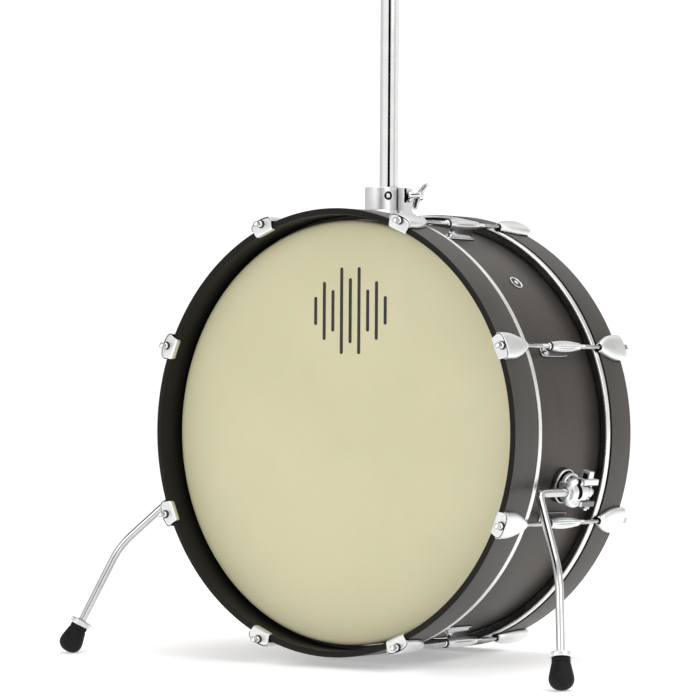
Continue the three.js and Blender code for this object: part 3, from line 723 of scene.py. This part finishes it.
def make_bracket():
    count = 72
    body = stadium(20, 15, count)

    def level(grow, z):
        return [(x * grow, POST_Y + y * grow, z) for x, y in body]

    tower = lofted([level(1, 262), level(1, BRACKET_TOP - 1.1), level(0.993, BRACKET_TOP - 0.45),
                    level(0.975, BRACKET_TOP)])

    def saddle_ring(half_x, half_y, rise, power=0.62):
        ring = []
        for k in range(count):
            turn = 2 * math.pi * k / count
            c, s = math.cos(turn), math.sin(turn)
            x = math.copysign(abs(c) ** power, c) * half_x
            y = math.copysign(abs(s) ** power, s) * half_y
            ring.append((x, POST_Y + y, math.sqrt((SHELL_R + rise) ** 2 - x * x)))
        return ring

    saddle = lofted([saddle_ring(43.2, 32.4, 0.9), saddle_ring(44, 33, 1.5), saddle_ring(44, 33, 5.6),
                     saddle_ring(43.4, 32.4, 6.9), saddle_ring(41.5, 31, 7.8),
                     saddle_ring(34, 30.5, 9.0, 0.75),
                     level(1.16, 265.4), level(1.07, 266.6), level(1.0, 269.5), level(0.9, 272)])
    gasket = lofted([saddle_ring(44.3, 33.3, 0.05), saddle_ring(44.3, 33.3, 1.1)], "black_nylon")
    jaw = block(10, 29, POST_Y - 9, POST_Y + 9, 258, BRACKET_TOP - 0.8, round_by=1.2, steps=3)
    solid = carved(carved(tower, saddle, "UNION"), jaw, "UNION")

    def upright(radius, low, high, look, x=0.0, y=POST_Y, sides=64):
        tool = turned([(0, low), (radius, low), (radius, high), (0, high)], sides, look)
        return tool.moved(Matrix.Rotation(math.radians(90), 4, "X")).shifted(x, y, 0)

    # The post's bore, the jaw's slot and the split beside it are cut with dark looks, so their walls are
    # painted dark as shade.
    solid = carved(solid, upright(POST_R + 1.7, 240, 320, "dark_steel"))
    solid = carved(solid, block(17, 40, POST_Y - 7.4, POST_Y - 2.6, 278.5, 320, "black_nylon"))
    solid = carved(solid, block(18.4, 24, POST_Y - 10.6, POST_Y - 9, 270.5, 320, "black_nylon"))
    bush = turned(filleted([(POST_R + 0.3, 256), (POST_R + 1.6, 256), (POST_R + 1.6, BRACKET_TOP + 0.7),
                            (POST_R + 0.3, BRACKET_TOP + 0.7)], [0.2, 0.2, 0.5, 0.3], 3), 72, "black_nylon",
                  closed=True).moved(Matrix.Rotation(math.radians(90), 4, "X")).shifted(0, POST_Y, 0)
    # A key screw stands in a round recess on the front lobe; the recess walls and the collar under the key
    # are painted dark as shade.
    facing = Vector((math.sin(math.radians(62)), -math.cos(math.radians(62)), 0))
    spot = Vector((0, POST_Y - 15, 286.5)) + facing * 20
    to_face = Vector((0, 1, 0)).rotation_difference(facing).to_matrix().to_4x4()
    screw_place = Matrix.Translation(spot) @ to_face
    pit = turned([(0, -4.6), (5.4, -4.6), (5.4, 4), (0, 4)], 40, "black_nylon").moved(screw_place)
    solid = carved(solid, pit)
    key = softened(block(-2.3, 2.3, -4.7, -0.6, -2.3, 2.3, "chrome"), 0.4, 2)
    collar = turned([(0, -4.5), (3.9, -4.5), (3.9, -3.4), (3.6, -3.1), (0, -3.1)], 32, "dark_steel")
    trim = (collar + key).moved(screw_place)
    screws = Shape()
    for x, y in ((-36, -18), (-36, 18), (36, -18), (36, 18)):
        up = Vector((x, 0, SHELL_R)).normalized()
        dome = turned([(0, 2.0), (1.6, 1.9), (3.2, 1.3), (4.2, 0.2), (4.2, -1), (0, -1)], 32, "chrome")
        # The cross slots are painted dark as shade.
        cross = (block(-2.2, 2.2, 1.4, 2.3, -0.45, 0.45, "dark_steel")
                 + block(-0.45, 0.45, 1.4, 2.3, -2.2, 2.2, "dark_steel"))
        dome = carved(dome, cross)
        spin = Vector((0, 1, 0)).rotation_difference(up).to_matrix().to_4x4()
        spot = up * (SHELL_R + 8.6)
        screws = screws + dome.moved(Matrix.Translation((spot.x, POST_Y + y, spot.z)) @ spin)
    put("bracket_body", mesh_of("bracket_body", solid, 32), "drum", ["post_bracket"],
        weighted=True)
    put("bracket_trim", mesh_of("bracket_trim", gasket + bush + trim + screws, 35), "drum",
        weighted=True)


def make_wing_bolt():
    hub = turned([(0, 20), (2.6, 20), (2.9, 20.6), (2.9, 29.6), (5.6, 29.7), (6.2, 30.4), (6.2, 32.2),
                  (5.3, 33.2), (4.9, 36), (5.0, 42), (5.2, 45.5), (4.6, 47.6), (2.6, 48.6), (0, 48.8)],
                 40, "chrome")
    hub = hub.moved(Matrix.Rotation(math.radians(-90), 4, "Z"))
    widths = [(2, 4.4), (6, 4.9), (11, 4.7), (16, 4.2), (19, 3.2), (20.3, 2.0), (20.8, 0.6)]
    thick = [(2, 2.6), (8, 1.9), (14, 1.6), (19, 1.4), (20.8, 0.5)]
    wings = Shape()
    for sign in (1, -1):
        rings = []
        for reach in (2, 4, 6, 8.5, 11, 13.5, 16, 18, 19.3, 20.2, 20.7):
            centre = 42.6 + 0.0085 * reach * reach
            w, t = blended(widths, reach), blended(thick, reach)
            rings.append([(centre + w * math.cos(a), t * math.sin(a), sign * reach)
                          for a in (2 * math.pi * k / 24 for k in range(24))])
        wings = wings + lofted(rings, "rod_steel")
    bolt = carved(hub, wings.moved(Matrix.Rotation(math.radians(-38), 4, "X")), "UNION")
    bolt = bolt.shifted(0, WING_Y, WING_Z)
    put("wing_bolt", mesh_of("wing_bolt", bolt, 40), "post_wing_bolt", ["post_wing_bolt"])


# spurs --------------------------------------------------------------------------------------------
def radial(shape):
    """Stands a shape turned about Y upright on the radial line through the spur base."""
    return shape.moved(Matrix.Rotation(math.radians(90), 4, "X")).shifted(0, SPUR_BASE_Y, 0)


def toothed(inner, outer, low, high, teeth, look):
    rings = [[] for _ in range(4)]
    for k in range(teeth * 4):
        turn = 2 * math.pi * k / (teeth * 4)
        lift = (high - low) * (1.0 if k % 4 in (1, 2) else 0.35)
        for ring, radius, z in zip(rings, (inner, outer, outer, inner), (low, low, low + lift, low + lift)):
            ring.append((radius * math.sin(turn), SPUR_BASE_Y + radius * math.cos(turn), z))
    return lofted(rings + [rings[0]], look, caps=False)


def recessed(shape, face, height, radius):
    """True for the faces near the pivot between the two discs, which are painted dark as shade."""
    points = [shape.points[i] for i in face]
    return all(p.z > height - 0.4 and math.hypot(p.x, p.y - SPUR_BASE_Y) < radius for p in points)


def spur_base_shape():
    disc = radial(turned([(0, 254.6), (20.4, 254.6), (21, 255.2), (21, 259.4), (20.5, 260.6),
                          (19.6, 261.0), (18.9, 260.6), (18.6, 259.2), (9, 259.2), (9, 267.6),
                          (0, 267.6)], 72, "satin_chrome"))
    # The faces between the discs are painted near black, and the disc's lower wall darker chrome, as shade.
    disc.looks = ["dark_steel" if recessed(disc, f, 259.3, 18.7) else
                  "shaded_chrome" if all(disc.points[i].z < 259.6 for i in f) else look
                  for f, look in zip(disc.faces, disc.looks)]
    gasket = radial(turned([(0, 252.8), (21.4, 252.8), (21.4, 254.7), (0, 254.7)], 72, "black_nylon"))
    # The teeth between the discs are painted dark as shade.
    return disc + gasket + toothed(10, 17.6, 259.0, 261.6, 36, "dark_steel")


def spur_clamp_shape():
    ratchet = radial(turned([(9.4, 263.4), (16.8, 263.4), (17.8, 264.0), (18.0, 265.0), (18.0, 267.6),
                             (17.2, 268.8), (15.5, 269.2), (0, 269.2), (0, 268.2), (9.4, 268.2)], 72))
    # The teeth are painted dark as shade.
    teeth = toothed(10, 17.0, 264.2, 262.0, 36, "dark_steel")
    neck = softened(block(-9, 9, CLAMP_FRONT + 9, CLAMP_BACK, 267.5, 283), 1.6, 3)
    eye = turned(filleted([(0, CLAMP_FRONT), (11.5, CLAMP_FRONT), (11.5, CLAMP_BACK), (0, CLAMP_BACK)],
                          [0, 1.4, 1.4, 0]), 48).shifted(0, 0, SPUR_R)
    cheek = turned([(0, SPUR_R - 4), (15.5, SPUR_R - 4), (17.0, SPUR_R - 2.6), (17.5, SPUR_R),
                    (17.5, SPUR_R + 3.6), (17.0, SPUR_R + 5.4), (15.6, SPUR_R + 6.7),
                    (13.6, SPUR_R + 7.0), (12.6, SPUR_R + 6.3), (10.5, SPUR_R + 6.0),
                    (0, SPUR_R + 6.0)], 64)
    cheek = cheek.moved(Matrix.Rotation(math.radians(90), 4, "X")).shifted(0, 105, 0)
    body = carved(carved(carved(ratchet, neck, "UNION"), eye, "UNION"), cheek, "UNION")
    for x0, x1 in ((-17, -9.2), (9.2, 16)):
        ear = block(x0, x1, CLAMP_BACK - 10, 143, SPUR_R - 7, SPUR_R + 8.8, round_by=1.4, steps=3)
        body = carved(body, ear, "UNION")
    knob = block(-26, -13, 124, 133, SPUR_R - 5.5, SPUR_R + 6.5, round_by=1.0, steps=3)
    body = carved(body, knob, "UNION")
    # The pocket, the groove and the bore are cut with dark looks, so their walls are painted dark as shade.
    pocket = block(-22.7, -16.3, 120, 129, SPUR_R - 2.7, SPUR_R + 3.7, "black_nylon")
    groove = filleted([(-30, 101.2), (6, 101.2), (6, 108.8), (-30, 108.8)], [0, 3.7, 3.7, 0], 6)
    groove = lofted([[(x, y, z) for x, y in groove] for z in (SPUR_R + 3.9, SPUR_R + 12)], "dark_steel")
    body = carved(carved(body, pocket), groove)
    bore = turned([(0, 80), (5.5, 80), (5.5, 150), (0, 150)], 40, "dark_steel").shifted(0, 0, SPUR_R)
    body = carved(body, bore)
    # Faces at the rear of the clamp, by the ears, are painted in the darker shaded chrome as shade.
    for k, face in enumerate(body.faces):
        middle = body.middle(face)
        if body.looks[k] == "satin_chrome" and middle.y > CLAMP_BACK - 4 and middle.x > -12.9:
            body.looks[k] = "shaded_chrome"
    stud = turned([(0, -12), (2.6, -12), (2.6, 21.5), (2.0, 22.2), (0, 22.2)], 24, "chrome")
    nut = turned([(0, 15.9), (5.2, 15.9), (5.8, 16.5), (5.8, 19.4), (5.2, 20), (0, 20)], 6, "rod_steel")
    bolt = (stud + softened(nut, 0.3, 2)).moved(Matrix.Rotation(math.radians(-90), 4, "Z"))
    bolt = bolt.shifted(0, 137, SPUR_R + 0.8)
    return body + teeth + bolt


def spur_ring_shape():
    ring = turned(filleted([(5.5, CLAMP_BACK + 0.5), (7.8, CLAMP_BACK + 0.5), (7.8, CLAMP_BACK + 12),
                            (5.5, CLAMP_BACK + 12)], [0.3, 0.9, 0.9, 0.3]), 48, "satin_chrome", closed=True)
    return ring.shifted(0, 0, SPUR_R)


def leg_points(side):
    _, swing, bend = LEGS[side]
    line = math.radians(SPUR_ANGLE)
    apex = Vector((SPUR_R * math.cos(line), bend, SPUR_R * math.sin(line)))

    def outward(degrees, reach, forward):
        return Vector((reach * math.cos(math.radians(degrees)), -forward,
                       -reach * math.sin(math.radians(degrees))))

    rear = apex + Vector((0, SPUR_STRAIGHT, 0))
    knee = apex + outward(swing, 108.4, 48.4)
    lower = outward(swing + 20.9, 98.1, 29)
    return rear, apex, knee, knee + lower, lower.normalized()


def corner(before, middle, after, reach, steps):
    start = middle + (before - middle).normalized() * reach
    end = middle + (after - middle).normalized() * reach
    return [start * (1 - t) ** 2 + middle * 2 * t * (1 - t) + end * t * t
            for t in (k / steps for k in range(steps + 1))]


def foot_shape():
    """The rubber foot hangs from the origin along +Y, under its lock nut."""
    y = 6.4
    profile = [(5.3, y), (9.6, y), (10.5, y + 0.5), (10.8, y + 1.6), (10.9, y + 4.4), (10.2, y + 5.0),
               (10.3, y + 5.8), (11.3, y + 6.4), (12.0, y + 10), (13.1, y + 15), (14.2, y + 20),
               (14.6, y + 23.5), (14.5, y + 26), (13.8, y + 28.6), (12.4, y + 31.2), (10.2, y + 33.4),
               (7.6, y + 35.0), (4.2, y + 36.1), (0, y + 36.6)]
    socket = turned([(5.3, 24), (5.3, y)], 64, "foot_rubber")
    return turned(profile + [(0, 24), (5.3, 24)], 64, "foot_rubber") + socket


def nut_shape():
    teeth = 40
    rings = []
    for radius, y, cut in ((5.4, 0, 0), (12.4, 0, 0), (13.4, 0.9, 0.5), (13.4, 5.1, 0.5), (12.4, 6.0, 0),
                           (5.4, 6.0, 0)):
        ring = []
        for k in range(teeth * 4):
            turn = 2 * math.pi * k / (teeth * 4)
            r = radius - (cut if k % 4 in (0, 3) else 0)
            ring.append((r * math.sin(turn), y, r * math.cos(turn)))
        rings.append(ring)
    return lofted(rings + [rings[0]], "satin_chrome", caps=False)


def foot_place(side, travel):
    _, _, _, ankle, down = leg_points(side)
    start = ankle + down * (travel - 3)
    return Matrix.Translation(start) @ Vector((0, 1, 0)).rotation_difference(down).to_matrix().to_4x4()


def make_spurs():
    for side, (sign, _, _) in LEGS.items():
        mirror = Matrix.Identity(4) if sign > 0 else LEFT_TO_RIGHT
        place = mirror @ carried(SPUR_ANGLE)
        disc = mesh_of("spur_disc", spur_base_shape().moved(place), 35)
        put(f"spur_disc_{side}", disc, "drum", [f"spur_base_{side}"], weighted=True)
        head = mesh_of("spur_head", spur_clamp_shape().moved(place), 32)
        put(f"spur_head_{side}", head, f"spur_clamp_{side}", [f"spur_clamp_{side}"],
            weighted=True)
        collar = mesh_of("spur_collar", spur_ring_shape().moved(place), 45)
        put(f"spur_collar_{side}", collar, f"spur_ring_{side}", [f"spur_ring_{side}"])
        # The foot is screwed along its leg until it stands on the floor.
        foot, travel = foot_shape(), 0.0
        down_z = (DRUM.to_3x3() @ leg_points(side)[4]).z
        for _ in range(3):
            low = min((DRUM @ (foot_place(side, travel) @ p * MM)).z for p in foot.points)
            travel -= (low / MM) / down_z
        rear, apex, knee, ankle, down = leg_points(side)
        path = [rear, rear + Vector((0, -0.9, 0)), rear.lerp(apex, 0.3), rear.lerp(apex, 0.6)]
        path += corner(rear, apex, knee, 13, 12) + [apex.lerp(knee, 0.35), apex.lerp(knee, 0.6)]
        path += corner(apex, knee, ankle, 20, 10) + [knee.lerp(ankle, 0.5), knee.lerp(ankle, 0.8)]
        path += [ankle + down * (16 + travel)]
        radii = [4.2] + [5.0] * (len(path) - 3) + [4.9, 4.6]
        leg = mesh_of("spur_leg", swept(path, radii, 28, "leg_chrome").moved(mirror), 45)
        put(f"spur_leg_{side}", leg, f"spur_rod_{side}", [f"spur_rod_{side}"])
        place = mirror @ foot_place(side, travel)
        put(f"rubber_foot_{side}", mesh_of("rubber_foot", foot.moved(place), 45), f"spur_foot_{side}",
            [f"spur_foot_{side}"], level=True)
        put(f"lock_nut_{side}", mesh_of("lock_nut", nut_shape().moved(place), 35), f"spur_foot_{side}")


# badge and print ----------------------------------------------------------------------------------
def make_badge():
    plate = turned([(0, 254.05), (8.6, 254.05), (9.2, 254.3), (9.3, 254.8), (9.0, 255.5), (8.4, 255.7),
                    (7.9, 255.4), (7.6, 255.1), (0, 255.1)], 64, "satin_chrome")
    field = turned([(0, 255.0), (7.4, 255.0), (7.4, 255.15), (0, 255.2)], 64, "black_ink")
    stud = turned([(0, 255.1), (2.8, 255.1), (3.0, 255.4), (2.6, 255.9), (0, 256.1)], 48, "satin_chrome")
    badge = (plate + field + stud).moved(Matrix.Rotation(math.radians(90), 4, "X")).shifted(0, 129, 0)
    put("shell_badge", mesh_of("shell_badge", badge.moved(carried(45)), 40), "drum")


def make_print():
    """A plain row of upright bars stands where the front head's print is."""
    bars = Shape()
    for k, height in enumerate((34, 70, 50, 104, 78, 104, 50, 70, 34)):
        x, half, reach = (k - 4) * 13.0, 2.3, height / 2
        corners = [(x - half, -reach), (x + half, -reach), (x + half, reach), (x - half, reach)]
        outline = filleted(corners, 2.25, 6)
        bars = bars + lofted([[(a, y, b + 146) for a, b in outline] for y in (30.98, 30.90)], "black_ink")
    put("front_head_print", mesh_of("front_head_print", bars.shifted(7, 0, 0), 45), "drum")


make_shell()
make_rings()
make_lugs()
make_post()
make_bracket()
make_wing_bolt()
make_spurs()
make_badge()
make_print()


# ---- stage, lights and camera, in metres ---------------------------------------------------------
FLOOR_R = 9
LIT_POINT = (0, 0, 0.3)


def make_stage():
    mesh = bpy.data.meshes.new("studio_floor")
    ring = [(FLOOR_R * math.cos(a), FLOOR_R * math.sin(a), 0.0)
            for a in (math.tau * k / 96 for k in range(96))]
    mesh.from_pydata(ring, [], [tuple(range(96))])
    n = Nodes("studio_paper")
    tone = n.noise(n.mapped((1, 1, 1)), 1.2, 2.0)
    n.set(Base_Color=n.mix(n.ramp(tone, 0.4, 0.6), grey(0.90), grey(0.92)), Roughness=0.9,
          Emission_Color=grey(1.0), Emission_Strength=0.36)
    mesh.materials.append(n.material)
    floor = bpy.data.objects.new("studio_floor", mesh)
    bpy.context.scene.collection.objects.link(floor)


def area_light(name, place, size, power):
    lamp = bpy.data.lights.new(name, "AREA")
    lamp.shape = "RECTANGLE"
    lamp.size, lamp.size_y = size
    lamp.energy = power
    made = bpy.data.objects.new(name, lamp)
    bpy.context.scene.collection.objects.link(made)
    made.location = place
    made.rotation_mode = "QUATERNION"
    made.rotation_quaternion = (Vector(LIT_POINT) - Vector(place)).to_track_quat("-Z", "Y")
    return made


def make_world():
    """A white studio with a few soft dark patches, which the metal shows as its streaks."""
    world = bpy.data.worlds.new("studio")
    world.use_nodes = True
    tree = world.node_tree
    where = tree.nodes.new("ShaderNodeTexCoord").outputs["Generated"]

    def shade(direction, start, end, floor):
        dot = tree.nodes.new("ShaderNodeVectorMath")
        dot.operation = "DOT_PRODUCT"
        tree.links.new(where, dot.inputs[0])
        dot.inputs[1].default_value = Vector(direction).normalized()
        fade = tree.nodes.new("ShaderNodeMapRange")
        fade.interpolation_type = "SMOOTHSTEP"
        tree.links.new(dot.outputs["Value"], fade.inputs["Value"])
        for key, value in (("From Min", start), ("From Max", end), ("To Min", 1.0), ("To Max", floor)):
            fade.inputs[key].default_value = value
        return fade.outputs["Result"]

    parts = [shade((0.585, -0.81, 0.03), 0.946, 0.973, 0.0), shade((-1.0, 0.1, -0.1), 0.5, 0.95, 0.7),
             shade((0.45, 0.76, 0.47), 0.93, 0.98, 0.6), shade((0.95, 0.3, -0.1), 0.93, 0.97, 0.75),
             shade((-0.4, -0.28, 0.87), 0.88, 0.94, 0.03), shade((-0.6, 0.8, 0.1), 0.9, 0.97, 0.45)]
    level = parts[0]
    for part in parts[1:]:
        times = tree.nodes.new("ShaderNodeMath")
        times.operation = "MULTIPLY"
        tree.links.new(level, times.inputs[0])
        tree.links.new(part, times.inputs[1])
        level = times.outputs[0]
    background = tree.nodes["Background"]
    background.inputs["Color"].default_value = (1.0, 0.985, 0.965, 1)
    times = tree.nodes.new("ShaderNodeMath")
    times.operation = "MULTIPLY"
    times.inputs[1].default_value = 0.9
    tree.links.new(level, times.inputs[0])
    # The backdrop behind the drum is plain white; the shades above only show in the metal.
    backdrop = tree.nodes.new("ShaderNodeMix")
    tree.links.new(tree.nodes.new("ShaderNodeLightPath").outputs["Is Camera Ray"], backdrop.inputs["Factor"])
    tree.links.new(times.outputs[0], backdrop.inputs["A"])
    backdrop.inputs["B"].default_value = 1.1
    tree.links.new(backdrop.outputs["Result"], background.inputs["Strength"])
    bpy.context.scene.world = world


def make_lights():
    make_world()
    area_light("key_right", (3.4, -0.4, 2.3), (1.8, 2.4), 30)
    area_light("fill_front", (-0.6, -3.6, 2.3), (2.0, 1.4), 19)
    area_light("top", (0.2, 0.4, 3.2), (2.2, 2.2), 24)


def make_camera():
    lens = bpy.data.cameras.new("camera")
    lens.sensor_width = 36
    lens.lens = 185.142857
    lens.clip_end = 60
    camera = bpy.data.objects.new("camera", lens)
    bpy.context.scene.collection.objects.link(camera)
    azimuth, elevation, roll = math.radians(36.82), math.radians(-0.5), math.radians(0.36)
    back = Vector((math.sin(azimuth) * math.cos(elevation), -math.cos(azimuth) * math.cos(elevation),
                   math.sin(elevation)))
    side = Vector((math.cos(azimuth), math.sin(azimuth), 0))
    up = back.cross(side)
    right = side * math.cos(roll) + up * math.sin(roll)
    up = up * math.cos(roll) - side * math.sin(roll)
    view = Matrix((right, up, back)).transposed().to_4x4()
    view.translation = Vector((2592.25, -3422.23, 61.23)) * MM
    camera.matrix_world = DRUM @ view
    bpy.context.scene.camera = camera


make_stage()
make_lights()
make_camera()
bpy.context.scene.view_settings.view_transform = "Standard"
